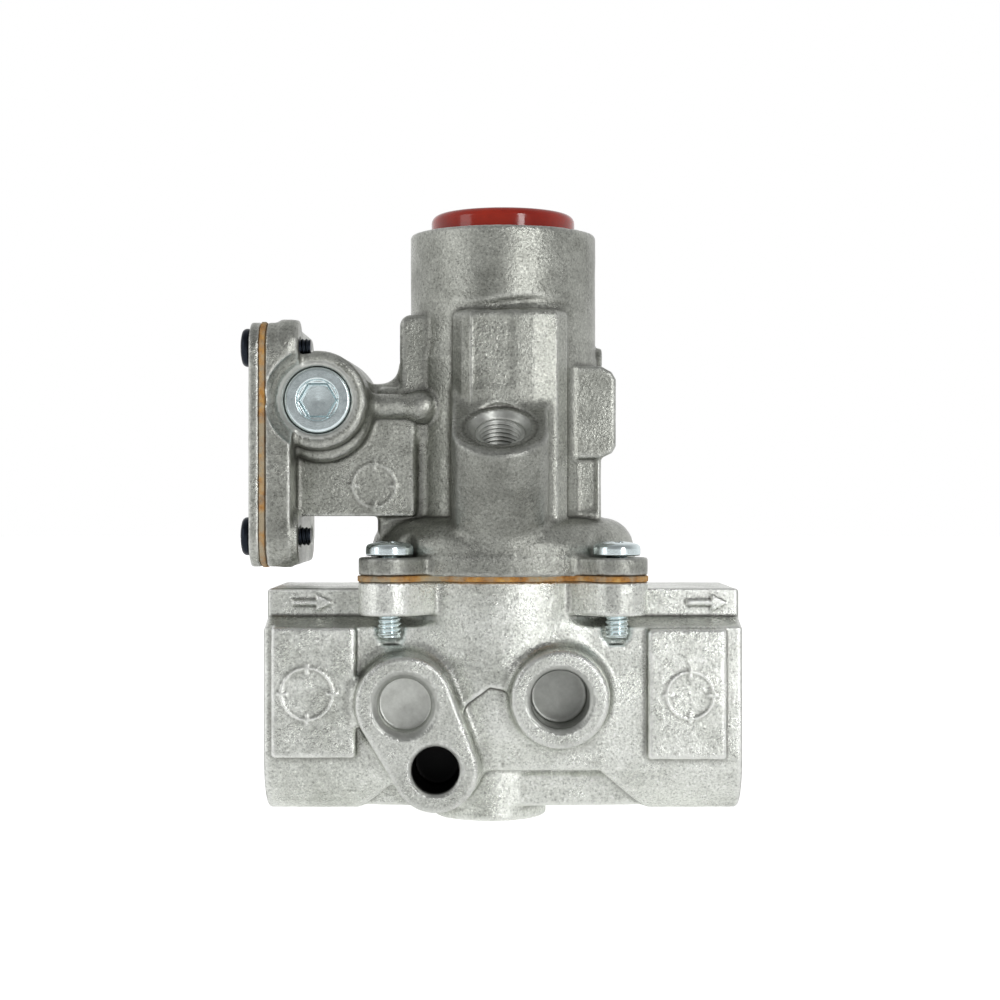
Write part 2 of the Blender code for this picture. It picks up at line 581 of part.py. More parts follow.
def reset_plunger(red, steel):
    """The button, its stem, the clip that stops it, and its return spring."""
    turned("reset_button", [(0, 124.4), (2.8, 124.4), (2.8, 119.0), (6.0, 119.0), (6.0, 126.2), (13.4, 126.2),
                            (13.4, 114.0), (BUTTON_R, 114.0), (BUTTON_R, BUTTON_TOP - 1.8),
                            (BUTTON_R - 0.5, BUTTON_TOP - 0.55), (BUTTON_R - 1.8, BUTTON_TOP),
                            (0, BUTTON_TOP)], red, steps=32)
    stem_foot = ARMATURE_BOTTOM + 2.5 + SEAT_GAP
    stem_outline = [(0, stem_foot), (2.2, stem_foot), (2.5, stem_foot + 0.4), (2.5, 102.3), (1.7, 102.3),
                    (1.7, 103.7), (2.5, 103.7), (2.5, 124.0), (0, 124.0)]
    turned("reset_stem", stem_outline, steel, steps=20)
    sleeve("stem_clip", 2.0, 4.6, 102.6, 103.4, steel, steps=20)
    coil("return_spring", 4.5, 0.6, 107.9, 4, 10.4, steel)


def build():
    clear_scene()
    casting = material("die_cast_aluminium", (0.62, 0.62, 0.61), 0.45, 1.0)
    tower_casting = material("tower_aluminium", (0.50, 0.49, 0.48), 0.5, 1.0)
    fibre = material("gasket_fibre", (0.50, 0.33, 0.16), 0.85, 0.0)
    zinc = material("zinc_plate", (0.66, 0.70, 0.73), 0.28, 1.0)
    black = material("black_oxide", (0.03, 0.035, 0.045), 0.4, 0.8)
    red = material("red_button", (0.42, 0.03, 0.02), 0.3, 0.0)
    rubber = material("seal_rubber", (0.02, 0.02, 0.02), 0.7, 0.0)
    brass = material("turned_brass", (0.75, 0.58, 0.28), 0.3, 1.0)
    steel = material("spring_steel", (0.55, 0.55, 0.56), 0.35, 1.0)
    iron = material("soft_iron", (0.42, 0.42, 0.43), 0.4, 1.0)
    copper = material("enamelled_copper", (0.55, 0.22, 0.10), 0.35, 0.7)
    plastic = material("insulating_bush", (0.09, 0.07, 0.06), 0.5, 0.0)
    felt = material("filter_felt", (0.68, 0.66, 0.60), 0.9, 0.0)
    lower_body(casting)
    bonnet_tower(tower_casting)
    bonnet_gasket(fibre)
    side_stack(tower_casting, fibre)
    fasteners(zinc, black)
    hex_plug(zinc)
    pilot_adjuster(brass, rubber)
    pilot_filter(felt, steel)
    valve_seat(brass, rubber)
    valve_train(steel, casting, rubber, iron)
    magnet(steel, iron, copper)
    thermocouple_contact(plastic, brass, copper)
    guide(steel, rubber)
    reset_plunger(red, steel)


build()
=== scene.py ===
"""Looks of the gas valve. Shapes are signed distance fields in millimetres, meshed on a grid."""
import json
import math

import bpy
import numpy as np
from mathutils import Euler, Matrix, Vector


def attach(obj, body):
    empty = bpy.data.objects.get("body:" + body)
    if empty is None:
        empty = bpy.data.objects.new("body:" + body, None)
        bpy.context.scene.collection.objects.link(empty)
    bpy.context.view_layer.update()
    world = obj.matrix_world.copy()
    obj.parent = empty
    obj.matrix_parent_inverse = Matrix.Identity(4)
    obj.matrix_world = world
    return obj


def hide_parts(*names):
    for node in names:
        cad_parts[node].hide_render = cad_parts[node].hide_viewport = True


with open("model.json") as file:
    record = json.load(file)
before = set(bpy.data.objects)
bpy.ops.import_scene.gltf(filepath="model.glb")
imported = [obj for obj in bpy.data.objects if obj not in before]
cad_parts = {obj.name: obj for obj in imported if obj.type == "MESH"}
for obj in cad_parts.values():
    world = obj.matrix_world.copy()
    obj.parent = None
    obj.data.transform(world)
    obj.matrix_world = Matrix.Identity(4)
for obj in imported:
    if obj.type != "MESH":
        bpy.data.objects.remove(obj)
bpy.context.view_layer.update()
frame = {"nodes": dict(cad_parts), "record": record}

MM = 0.001
ROOT = "body"

# Sizes that the castings share, in millimetres
HALF_LENGTH = 49.4
PIPE_Z = 25.2
BODY_TOP = 51.2
SCREW_PITCH = 23.3
EAR_R = 6.35
FLANGE_BOTTOM, FLANGE_TOP = 52.5, 56.2
TOWER_R, TOWER_TOP = 20.0, 125.2
ARM_Z, FLANGE_Z = 79.9, 79.35
SIDE_PITCH = 19.5
SIDE_HALF = (25.5, 25.25)
PLUG_X, PLUG_Z = -38.3, 88.5
SLANT = np.array((0.0, -0.588, 0.809))
SLANT_MOUTH = (-0.6, -29.0, 82.8)
BOSS_FACE = 30.0                                # the front bosses end at y = -30
ROUND_BOSS, TAP_R = (11.5, 27.6), 5.85
TWIN_UPPER, BLIND_R = (-20.0, 26.4), 5.4
TWIN_LOWER, DEEP_R = (-13.7, 13.3), 4.8
BORE_R, BORE_END = 14.8, 28.4                   # pipe bores and their inner ends
BOSS_DRAFT = 0.085
COLUMN_SIDES = (-10.4, 9.2)                     # thermocouple boss, in X
PLUG_R, PLUG_FACE, HEX_FLATS = 6.85, 21.8, 6.35
BUTTON_R, BUTTON_TOP = 15.5, 129.4
CASTING_STEP = 0.42                             # grid of the two castings


# ------------------------------------------------------------------ distance fields

def length(*parts):
    return np.sqrt(sum(p * p for p in parts))


def blend(a, b, k):
    """Smooth union with a fillet of about k."""
    h = np.clip(0.5 + 0.5 * (b - a) / k, 0, 1)
    return b * (1 - h) + a * h - k * h * (1 - h)


def join(k, *fields):
    total = fields[0]
    for field in fields[1:]:
        total = blend(total, field, k)
    return total


def carve(a, b, k=0.35):
    """Cut b out of a, leaving an edge of about k."""
    return -blend(-a, b, k)


def slab(h, low, high):
    return np.abs(h - (low + high) / 2) - (high - low) / 2


def meet(a, b, edge):
    """Intersection of two fields with a round of radius edge where they meet."""
    p, q = a + edge, b + edge
    return length(np.maximum(p, 0), np.maximum(q, 0)) + np.minimum(np.maximum(p, q), 0) - edge


def box(x, y, z, low, high, edge):
    return meet(meet(slab(x, low[0], high[0]), slab(y, low[1], high[1]), edge),
                slab(z, low[2], high[2]), edge)


def disc(a, b, centre, radius):
    return length(a - centre[0], b - centre[1]) - radius


def post(a, b, h, centre, radius, low, high, edge=0.3, draft=0.0):
    """A cylinder along h; draft widens it by that share of the distance from high."""
    return meet(disc(a, b, centre, radius) - draft * (high - h), slab(h, low, high), edge)


def capsule2(a, b, start, end, radius):
    """Distance in a plane to a stadium from start to end."""
    ex, ey = end[0] - start[0], end[1] - start[1]
    share = np.clip(((a - start[0]) * ex + (b - start[1]) * ey) / (ex * ex + ey * ey), 0, 1)
    return length(a - start[0] - ex * share, b - start[1] - ey * share) - radius


def tapered2(a, b, start, r_start, end, r_end):
    """Distance in a plane to the hull of two circles."""
    ex, ey = end[0] - start[0], end[1] - start[1]
    span = math.hypot(ex, ey)
    ex, ey = ex / span, ey / span
    along = (a - start[0]) * ex + (b - start[1]) * ey
    side = np.abs((a - start[0]) * ey - (b - start[1]) * ex)
    lean = (r_start - r_end) / span
    rise = math.sqrt(1 - lean * lean)
    where = along * rise - side * lean
    flank = side * rise + along * lean - r_start
    return np.where(where < 0, length(along, side) - r_start,
                    np.where(where > rise * span, length(along - span, side) - r_end, flank))


def polygon(u, v, points):
    """Signed distance in a plane to a closed polygon."""
    u, v = np.broadcast_arrays(u, v)
    nearest = np.full(u.shape, 1e9)
    sign = np.ones(u.shape)
    for (ax, ay), (bx, by) in zip(points, points[1:] + points[:1]):
        ex, ey = bx - ax, by - ay
        wx, wy = u - ax, v - ay
        share = np.clip((wx * ex + wy * ey) / (ex * ex + ey * ey), 0, 1)
        nearest = np.minimum(nearest, (wx - ex * share) ** 2 + (wy - ey * share) ** 2)
        low, high, left = v >= ay, v < by, ex * wy > ey * wx
        flip = (low & high & left) | (~low & ~high & ~left)
        sign = np.where(flip, -sign, sign)
    return sign * np.sqrt(nearest)


def arc(centre, radius, start, end, count):
    angles = [math.radians(start + (end - start) * k / count) for k in range(count + 1)]
    return [(centre[0] + radius * math.cos(a), centre[1] + radius * math.sin(a)) for a in angles]


def corners(pitch):
    return [(-pitch, -pitch), (pitch, -pitch), (pitch, pitch), (-pitch, pitch)]


def all_corners(a, b, pitch, radius):
    """Distance to circles at the four corners of a square pattern."""
    return length(np.abs(a) - pitch, np.abs(b) - pitch) - radius


# ------------------------------------------------------------------ noise and meshing

LATTICE = np.random.RandomState(7).rand(32, 32, 32)


def noise(points, scale, shift=0.0):
    """Smooth value noise from -1 to 1, one feature to every scale millimetres."""
    spot = points / scale + shift
    base = np.floor(spot).astype(int)
    part = spot - base
    part = part * part * (3 - 2 * part)
    total = np.zeros(len(points))
    for corner in range(8):
        step = np.array([corner & 1, corner >> 1 & 1, corner >> 2 & 1])
        weight = np.prod(np.where(step, part, 1 - part), axis=1)
        i, j, k = ((base + step) % 32).T
        total += weight * LATTICE[i, j, k]
    return total * 2 - 1


def grain(points, scale, shift=0.0):
    """Three octaves of noise."""
    return (noise(points, scale, shift) + 0.5 * noise(points, scale / 2, shift + 3.1)
            + 0.25 * noise(points, scale / 4, shift + 9.7)) / 1.75


def gradient(field, p, reach=0.03):
    slopes = []
    for axis in range(3):
        step = np.zeros(3)
        step[axis] = reach
        ahead, behind = p + step, p - step
        slopes.append((field(*ahead.T) - field(*behind.T)) / (2 * reach))
    return np.stack(slopes, axis=1)


def roundness(field, p, reach=0.7):
    """How sharply the surface bends: positive on edges, negative in corners."""
    total = -6 * field(*p.T)
    for axis in range(3):
        step = np.zeros(3)
        step[axis] = reach
        total += field(*(p + step).T) + field(*(p - step).T)
    return total / reach


def surface(field, low, high, step):
    """Surface nets: one vertex in each cell that the surface crosses, pulled onto the surface."""
    axes = [np.arange(a - 2 * step, b + 3 * step, step) for a, b in zip(low, high)]
    values = field(axes[0][:, None, None], axes[1][None, :, None], axes[2][None, None, :])
    values = np.ascontiguousarray(np.broadcast_to(values, [len(a) for a in axes]), dtype=np.float32)
    inside = values < 0
    cuts = [(slice(None, -1), slice(1, None))[n] for n in (0, 1)]
    count = sum(inside[cuts[a], cuts[b], cuts[c]].astype(np.uint8)
                for a in (0, 1) for b in (0, 1) for c in (0, 1))
    cells = np.argwhere((count > 0) & (count < 8))
    index = np.full(count.shape, -1, dtype=np.int32)
    index[tuple(cells.T)] = np.arange(len(cells))
    total, hits = np.zeros((len(cells), 3)), np.zeros(len(cells))
    for axis in range(3):
        others = [n for n in range(3) if n != axis]
        for a in (0, 1):
            for b in (0, 1):
                first = np.zeros(3, dtype=int)
                first[others[0]], first[others[1]] = a, b
                last = first.copy()
                last[axis] = 1
                d0 = values[tuple((cells + first).T)]
                d1 = values[tuple((cells + last).T)]
                crossed = (d0 < 0) != (d1 < 0)
                share = np.where(crossed, d0 / np.where(crossed, d0 - d1, 1), 0)
                spot = first + share[:, None] * (last - first)
                total += spot * crossed[:, None]
                hits += crossed
    points = np.array([a[0] for a in axes]) + (cells + total / hits[:, None]) * step
    for _ in range(3):
        away = field(*points.T)
        slope = gradient(field, points)
        size = np.maximum((slope ** 2).sum(axis=1), 0.05)
        move = np.clip(away / size, -0.5 * step, 0.5 * step)
        points = points - move[:, None] * slope
    return points, net_faces(inside, index)


def net_faces(inside, index):
    """A quad around every grid edge that the surface crosses, facing out."""
    quads = []
    turns = {0: ((0, 1, 1), (0, 0, 1), (0, 0, 0), (0, 1, 0)),
             1: ((1, 0, 1), (1, 0, 0), (0, 0, 0), (0, 0, 1)),
             2: ((1, 1, 0), (0, 1, 0), (0, 0, 0), (1, 0, 0))}
    for axis, back in turns.items():
        here = [slice(1, -1)] * 3
        there = [slice(1, -1)] * 3
        there[axis] = slice(2, None)
        low, high = inside[tuple(here)], inside[tuple(there)]
        for outward in (True, False):
            spots = np.argwhere((low & ~high) if outward else (~low & high)) + 1
            around = [index[tuple((spots - np.array(b)).T)] for b in back]
            quads.append(np.stack(around if outward else around[::-1], axis=1))
    quads = np.concatenate(quads)
    return quads[(quads >= 0).all(axis=1)]


def mesh_from(name, points, quads, layers=None):
    """A smooth shaded mesh in metres with float layers on its points."""
    mesh = bpy.data.meshes.new(name)
    mesh.vertices.add(len(points))
    mesh.vertices.foreach_set("co", (points * MM).astype(np.float32).ravel())
    mesh.loops.add(quads.size)
    mesh.loops.foreach_set("vertex_index", quads.astype(np.int32).ravel())
    mesh.polygons.add(len(quads))
    mesh.polygons.foreach_set("loop_start", np.arange(0, quads.size, 4, dtype=np.int32))
    mesh.update(calc_edges=True)
    mesh.shade_smooth()
    for layer, numbers in (layers or {}).items():
        mesh.attributes.new(layer, 'FLOAT', 'POINT').data.foreach_set("value", numbers.astype(np.float32))
    return mesh


def sculpt(name, field, low, high, step, look, relief=None, masks=None):
    """Mesh a field, roughen it by relief(points) along its normals, and store its masks."""
    step = step * 1
    points, quads = surface(field, low, high, step)
    layers = {"edge": np.clip(roundness(field, points), -2, 2)}
    for layer, mask in (masks or {}).items():
        layers[layer] = mask(points)
    if relief:
        normal = gradient(field, points)
        normal /= np.maximum(np.linalg.norm(normal, axis=1), 1e-6)[:, None]
        points = points + normal * relief(points, layers)[:, None]
    piece = bpy.data.objects.new(name, mesh_from(name, points, quads, layers))
    piece.data.materials.append(look)
    bpy.context.scene.collection.objects.link(piece)
    return piece


def stand_for(piece, slot, *nodes, body=ROOT):
    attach(piece, body)
    if nodes:
        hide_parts(*nodes)
    return piece


# ------------------------------------------------------------------ lower body

def port_outline():
    half = [(15.0, 49.4), (15.0, 43.6), (21.5, 41.7)] + arc((9.7, 14.7), 11.8, 0, -90, 8)
    return half + [(-y, z) for y, z in reversed(half)]


def chamber_outline():
    """Radius and height of the round valve chamber, with its bowl-shaped underside."""
    return [(0, 60), (26.0, 60), (26.0, 27.5)] + arc((13.5, 24.5), 12.4, 0, -80, 8) + [(0, 11.0)]


def flow_arrow(x, z, tip):
    """An arrow along +X whose tip is at tip."""
    tail, neck = tip[0] - 8.5, tip[0] - 3.4
    return polygon(x, z, [(tail, tip[1] - 0.55), (neck, tip[1] - 0.55), (neck, tip[1] - 1.7), tip,
                          (neck, tip[1] + 1.7), (neck, tip[1] + 0.55), (tail, tip[1] + 0.55)])


def date_ring(x, z, centre, radius):
    """A plain ring with four ticks."""
    reach = length(x - centre[0], z - centre[1])
    ring = np.abs(reach - radius) - 0.22
    ticks = np.minimum(np.abs(x - centre[0]), np.abs(z - centre[1])) - 0.25
    return np.minimum(ring, np.maximum(ticks, np.abs(reach - radius + 0.2) - 1.1))


def lower_body(x, y, z):
    section = polygon(y, z, port_outline())
    ports = meet(section, slab(x, -HALF_LENGTH, HALF_LENGTH), 0.9)
    waist = polygon(np.abs(x), z, [(0, 12), (20, 12), (29.5, 3.4), (29.5, 0), (60, 0), (60, 60), (0, 60)])
    ports = meet(ports, waist, 1.2)
    rho = length(x, y)
    chamber = polygon(rho, z, chamber_outline())
    ears = all_corners(x, y, SCREW_PITCH, EAR_R)
    spokes = capsule2(np.abs(x), np.abs(y), (13, 13), (SCREW_PITCH, SCREW_PITCH), EAR_R)
    ears = meet(np.minimum(ears, spokes), slab(z, 44.3, 60), 0.7)
    ledge = 29.6 - np.where(x < -2.8, 0.75 * (-2.8 - x), 0.15 * (x + 2.8))
    undercut = np.maximum(np.maximum(24.8 - rho, z - ledge), np.abs(x) - 16)
    chamber = carve(chamber, undercut, 0.6)
    solid = join(2.6, ports, chamber)
    solid = join(1.2, solid, ears)
    foot = meet(capsule2(x, y, (-2.85, 0), (-2.85, 8), 12.1), slab(z, 0, 16), 0.8)
    web = polygon(np.abs(x), z, [(0, 9.8), (24.2, 9.8), (29.9, 3.4), (0, 3.0)])
    web = meet(web, slab(y, -10.8, 10.8), 0.6)
    core = meet(slab(x, -21.5, 21.5), meet(slab(y, -10.4, 10.4), slab(z, 7, 16), 0.4), 0.4)
    solid = join(0.9, solid, foot, web, core)
    face = np.abs(y)
    right = box(x, face, z, (29.7, 12, 14.7), (45.8, 24, 41.4), 0.8)
    left = box(x, face, z, (-47.6, 12, 15.0), (-30.3, 24, 41.9), 0.8)
    solid = join(0.9, solid, right, left)
    solid = join(2.2, solid, post(x, z, -y, ROUND_BOSS, 9.9, 5, BOSS_FACE, 0.9, BOSS_DRAFT),
                 twin_boss(x, y, z))
    marks = np.minimum(flow_arrow(x, z, (-35.6, 46.4)), flow_arrow(x, z, (47.0, 46.4)))
    solid = join(0.3, solid, meet(marks, slab(y, -15.4, -14), 0.15))
    rings = np.minimum(date_ring(x, z, (-40.2, 28.2), 5.3), date_ring(x, z, (38.4, 27.9), 4.8))
    solid = join(0.3, solid, meet(rings, slab(y, -24.22, -23), 0.12))
    solid = np.maximum(solid, z - BODY_TOP)
    return cut_lower(solid, x, y, z)


def twin_boss(x, y, z):
    outline = tapered2(x, z, TWIN_UPPER, 9.9, TWIN_LOWER, 8.6)
    return meet(outline - BOSS_DRAFT * (BOSS_FACE + y), slab(y, -BOSS_FACE, -5), 0.9)


def cone_mouth(radius, h, top, depth):
    """Radius of a bore that widens by a chamfer of that depth below its mouth."""
    return radius + np.clip(h - (top - depth), 0, depth + 3)


def cut_lower(solid, x, y, z):
    port_r = cone_mouth(BORE_R, np.abs(x), HALF_LENGTH, 1.8)
    bores = meet(length(y, z - PIPE_Z) - port_r, slab(np.abs(x), BORE_END, 60), 0.4)
    solid = carve(solid, bores)
    solid = carve(solid, post(y, z, -x, (0, 15.5), 8, 8, 33))
    solid = carve(solid, post(y, z, x, (0, 37.5), 8, 17, 33))
    rho = length(x, y)
    solid = carve(solid, meet(rho - 8.6, slab(z, 5, 27), 0.5))
    solid = carve(solid, meet(rho - 11.3, slab(z, 17.5, 40), 0.2))
    solid = carve(solid, meet(rho - 19, slab(z, 33, 60), 0.5))
    solid = carve(solid, meet(all_corners(x, y, SCREW_PITCH, 2.7), slab(z, 38, 60), 0.1))
    solid = carve(solid, meet(all_corners(x, y, SCREW_PITCH, 3.3), slab(z, 38.8, 44.6), 1.4), 0.9)
    depth = -y
    tap = disc(x, z, ROUND_BOSS, 0) - cone_mouth(TAP_R, depth, BOSS_FACE, 0.8)
    solid = carve(solid, meet(tap, slab(depth, 19.5, 40), 0.4), 0.5)
    shallow = disc(x, z, TWIN_UPPER, 0)
    cone_floor = 25.4 - 0.1 * (BLIND_R - np.minimum(shallow, BLIND_R))
    blind = np.maximum(shallow - cone_mouth(BLIND_R, depth, BOSS_FACE, 1.25), cone_floor - depth)
    solid = carve(solid, blind, 0.5)
    deep = disc(x, z, TWIN_LOWER, 0) - cone_mouth(DEEP_R, depth, BOSS_FACE, 0.5)
    return carve(solid, meet(deep, slab(depth, 15.5, 40), 0.4), 0.4)


# ------------------------------------------------------------------ bonnet and tower

def tower_outline():
    shoulder = arc((21.6, 57.2), 6.8, 0, 86, 12)
    return [(0, FLANGE_BOTTOM), (28.4, FLANGE_BOTTOM)] + shoulder + [
        (20.9, 64.3), (20.5, 65.4), (20.5, 98), (TOWER_R, 101), (TOWER_R, TOWER_TOP), (0, TOWER_TOP)]


def flange_plate(x, y):
    """Outline of the bonnet flange with its four ears."""
    spokes = capsule2(np.abs(x), np.abs(y), (14, 14), (SCREW_PITCH, SCREW_PITCH), EAR_R)
    return blend(length(x, y) - 28.3, spokes, 2.0)


def side_plate(y, z):
    """Outline of the square side flange, its gasket and its cover, with rounded corners."""
    return meet(np.abs(y) - SIDE_HALF[0], np.abs(z - FLANGE_Z) - SIDE_HALF[1], 6.0)


def bonnet_tower(x, y, z):
    solid = meet(polygon(length(x, y), z, tower_outline()), slab(z, 0, TOWER_TOP), 1.0)
    plate = meet(flange_plate(x, y), slab(z, FLANGE_BOTTOM, FLANGE_TOP), 0.5)
    solid = join(1.2, solid, plate)
    block = meet(polygon(x, y, [(-10.4, 0), (-10.4, -18.6), (-8.6, -21.4), (-6.6, -23.2), (3.4, -23.2),
                                (6.4, -23.0), (11.2, -21.7), (13.3, -18.4), (13.3, 0)]),
                 slab(z, 58, 107.4), 1.6)
    solid = join(0.8, solid, block)
    solid = join(1.6, solid, thermocouple_boss(x, y, z))
    solid = join(0.8, solid, side_features(x, y, z))
    solid = join(1.3, solid, arm(x, y, z))
    return cut_tower(solid, x, y, z)


def slanted_axes(x, y, z):
    """Distance from the slanted port's axis, height over its face, and the offset across the slope."""
    px, py, pz = x - SLANT_MOUTH[0], y - SLANT_MOUTH[1], z - SLANT_MOUTH[2]
    height = py * SLANT[1] + pz * SLANT[2]
    across = py * SLANT[2] - pz * SLANT[1]
    return length(px, across), height, across


def thermocouple_boss(x, y, z):
    """A leaning column with a bowed front, cut off by the slanted face."""
    below = 76.0 - z
    lean = 0.28 * (below + np.sqrt(below * below + 9.0))
    front = -37.6 + lean + (x + 0.6) ** 2 / 19
    column = meet(0.85 * (front - y), slab(x, *COLUMN_SIDES), 1.6)
    column = np.maximum(np.maximum(column, slab(z, 54.8, 95)), y)
    return meet(column, slanted_axes(x, y, z)[1], 0.7)


def side_features(x, y, z):
    """Pad on the right, small boss above it, and the upright rib on the left."""
    pad = polygon(x, z, [(8, 76.5), (20.4, 76.6), (22.9, 77.8), (23.7, 79.2), (23.7, 93.2), (22.8, 94.8),
                         (20.6, 96.0), (8, 96.4)])
    pad = meet(pad, slab(y, -14.2, 14.2), 0.8)
    nub = meet(length(y, z - 98.4) - 2.4, slab(x, 10, 21.4), 0.5)
    panel = box(x, y, z, (8, -13.6, 60), (20.6, 13.6, 78), 0.7)
    window = box(x, np.abs(y), z, (15.4, 13.4, 65.6), (19.4, 20, 76.6), 0.1)
    panel = carve(panel, window, 0.8)
    rib = meet(meet(slab(x, -21.8, -10), slab(z, 80, 107), 2.4), slab(y, -12.6, 12.6), 1.2)
    return join(0.7, pad, nub, rib, panel)


def arm(x, y, z):
    side = polygon(np.abs(y), z, [(0, 64.5), (13.6, 64.5), (13.6, 87.0), (9.4, 92.4), (0, 92.4)])
    block = meet(side, slab(x, -47, -18.2), 1.2)
    block = join(1.0, block, box(x, y, z, (-26.5, -12.2, 60), (-12, 12.2, 91.8), 1.4))
    saddle = meet(polygon(x, z, [(-36, 86), (-36, 92.4), (-29, 92.4)] + arc((-26.8, 97.4), 5.0, 270, 350, 8)
                          + [(-16, 98), (-16, 86)]), slab(y, -9.4, 9.4), 1.4)
    saddle = np.maximum(saddle, slab(z, 80, 97))
    rib = length(np.maximum(np.abs(x + 22.6) - 6.2, 0), y + 13.6, z - 87.6) - 2.6
    knob = length(x + 17.2, y + 13.4, z - 87.4) - 3.4
    rib = blend(rib, knob, 1.0)
    mark = meet(date_ring(x, z, (-27.1, 70.9), 4.5), slab(y, -13.85, -12), 0.12)
    boss = post(x, z, -y, (PLUG_X, PLUG_Z), 10.2, -12, 22, 1.3, 0.02)
    skirt = post(x, z, -y, (PLUG_X + 0.5, PLUG_Z - 2.2), 10.4, -12, 17.5, 1.5)
    boss = join(1.0, boss, skirt)
    plate = meet(side_plate(y, z), slab(x, -48.7, -43.4), 0.6)
    pads = meet(all_corners(y, z - ARM_Z, SIDE_PITCH, 5.7), slab(x, -46, -42.0), 0.6)
    pads = np.maximum(pads, y)
    solid = join(0.3, join(0.9, block, saddle, rib), mark)
    solid = join(1.6, solid, boss)
    return join(1.3, solid, plate, pads)


def cut_tower(solid, x, y, z):
    rho = length(x, y)
    seats = meet(all_corners(x, y, SCREW_PITCH, 5.6), slab(z, FLANGE_TOP, 68), 0.4)
    solid = carve(solid, seats, 0.5)
    solid = carve(solid, meet(all_corners(x, y, SCREW_PITCH, 2.8), slab(z, 50, 60), 0.1))
    solid = carve(solid, meet(rho - 12, slab(z, 40, 67), 0.2))
    solid = carve(solid, meet(rho - 14, slab(z, 66, 105), 0.2))
    bore = rho - 16 - np.clip(z - TOWER_TOP + 0.6, 0, 6)
    solid = carve(solid, meet(bore, slab(z, 104, 140), 0.2), 0.8)
    seam_z = 108.8 + 0.5 * np.sin(0.25 * (x - 2))
    seam = length((rho - 21.3) * 0.6, z - seam_z) - 1.2 * np.clip(1.2 - np.abs(x - 1.4) / 12, 0, 1)
    solid = carve(solid, np.maximum(seam, y), 1.0)
    solid = cut_slanted_port(solid, x, y, z)
    depth = -y
    plug_r = np.where(depth > 15.7, cone_mouth(7.0, depth, 22, 0.4), 5.6)
    plug_bore = np.maximum(disc(x, z, (PLUG_X, PLUG_Z), 0) - plug_r, 12.5 - depth)
    solid = carve(solid, plug_bore, 0.3)
    solid = carve(solid, meet(disc(x, z, (PLUG_X, PLUG_Z), 3.0), slab(depth, 3.4, 14), 0.1))
    room = meet(length(y, z - ARM_Z) - 11.3, slab(x, -60, -34.5), 0.4)
    solid = carve(solid, room)
    holes = meet(all_corners(y, z - ARM_Z, SIDE_PITCH, 2.2), slab(x, -60, -39.3), 0.1)
    return carve(solid, holes)


def cut_slanted_port(solid, x, y, z):
    rho, height, _ = slanted_axes(x, y, z)
    solid = carve(solid, meet(rho - 7.7, slab(height, -0.2, 14), 0.1), 0.25)
    mouth = rho - 5.05 - np.clip(height + 1.5, 0, 1.1)
    solid = carve(solid, meet(mouth, slab(height, -13, 6), 0.2), 0.2)
    solid = carve(solid, meet(rho - 3.2, slab(height, -18, -10), 0.2))
    return carve(solid, meet(rho - 1.6, slab(height, -31, -10), 0.1))


# ------------------------------------------------------------------ relief and masks

def pad_mask(p):
    """1 on the granular faces of the wrench pads."""
    front = np.abs(np.abs(p[:, 1]) - 24.1) < 0.6
    right = (p[:, 0] > 29.5) & (p[:, 0] < 46)
    left = (p[:, 0] < -30) & (p[:, 0] > -47.8)
    return (front & (right | left) & (p[:, 2] > 14) & (p[:, 2] < 42)).astype(float)


def lower_machined(p):
    x, y, z = p.T
    ends = np.abs(np.abs(x) - HALF_LENGTH) < 0.25
    ports = (length(y, z - PIPE_Z) < 17) & (np.abs(x) > 30)
    top = np.abs(z - BODY_TOP) < 0.15
    tap = (length(x - ROUND_BOSS[0], z - ROUND_BOSS[1]) < 7.0) & (y < -15)
    blind = (length(x - TWIN_UPPER[0], z - TWIN_UPPER[1]) < 7.0) & (y < -15)
    deep = (length(x - TWIN_LOWER[0], z - TWIN_LOWER[1]) < 5.5) & (y < -15)
    return (ends | ports | top | tap | blind | deep).astype(float)


def lower_shade(p):
    """Painted shade inside the front bores, black in the deep one, and the boss faces made a little darker.
    """
    x, y, z = p.T
    inside = np.clip((y + 29.4) / 1.2, 0, 1) * (y < -14)
    # Painted shade: the deep bore black inside, the tapped bore darker inside.
    deep = (length(x - TWIN_LOWER[0], z - TWIN_LOWER[1]) < 5.4) * inside
    tap = (length(x - ROUND_BOSS[0], z - ROUND_BOSS[1]) < 6.2) * inside
    # The boss faces a little darker.
    faces = 0.13 * (y < -29.2)
    return np.clip(deep + 0.3 * tap + faces, 0, 1)


def tower_shade(p):
    """Painted shade inside the slanted port, and painted shade on the column under it."""
    rho, height, _ = slanted_axes(*p.T)
    # Painted shade on the downward-facing front of the column.
    column = 0.24 * np.clip((-24.5 - p[:, 1]) / 3, 0, 1) * (p[:, 2] < 92)
    # Painted shade inside the slanted port, darker further down.
    return np.maximum(0.75 * (rho < 6.4) * np.clip(-height / 6.0, 0, 1), column)


def tower_machined(p):
    x, y, z = p.T
    rho, height, _ = slanted_axes(x, y, z)
    slanted = (rho < 6.3) & (height < 0.3)
    plug = (length(x - PLUG_X, z - PLUG_Z) < 8.2) & (y < -12)
    bore = (length(x, y) < 16.9) & (z > 60)
    flats = (np.abs(z - FLANGE_BOTTOM) < 0.15) | (x < -48.5)
    return (slanted | plug | bore | flats).astype(float)


def cast_relief(p, layers):
    """Casting skin: soft waviness, grain, and a coarse granular texture on the wrench pads."""
    skin = 0.05 * grain(p, 5.0) + 0.028 * grain(p, 1.0, 5.0)
    pads = layers.get("pad", 0) * 0.075 * grain(p, 1.3, 11.0)
    return (skin + pads) * (1 - 0.97 * layers["machined"])


def soft_step(t):
    t = np.clip(t, 0, 1)
    return t * t * (3 - 2 * t)


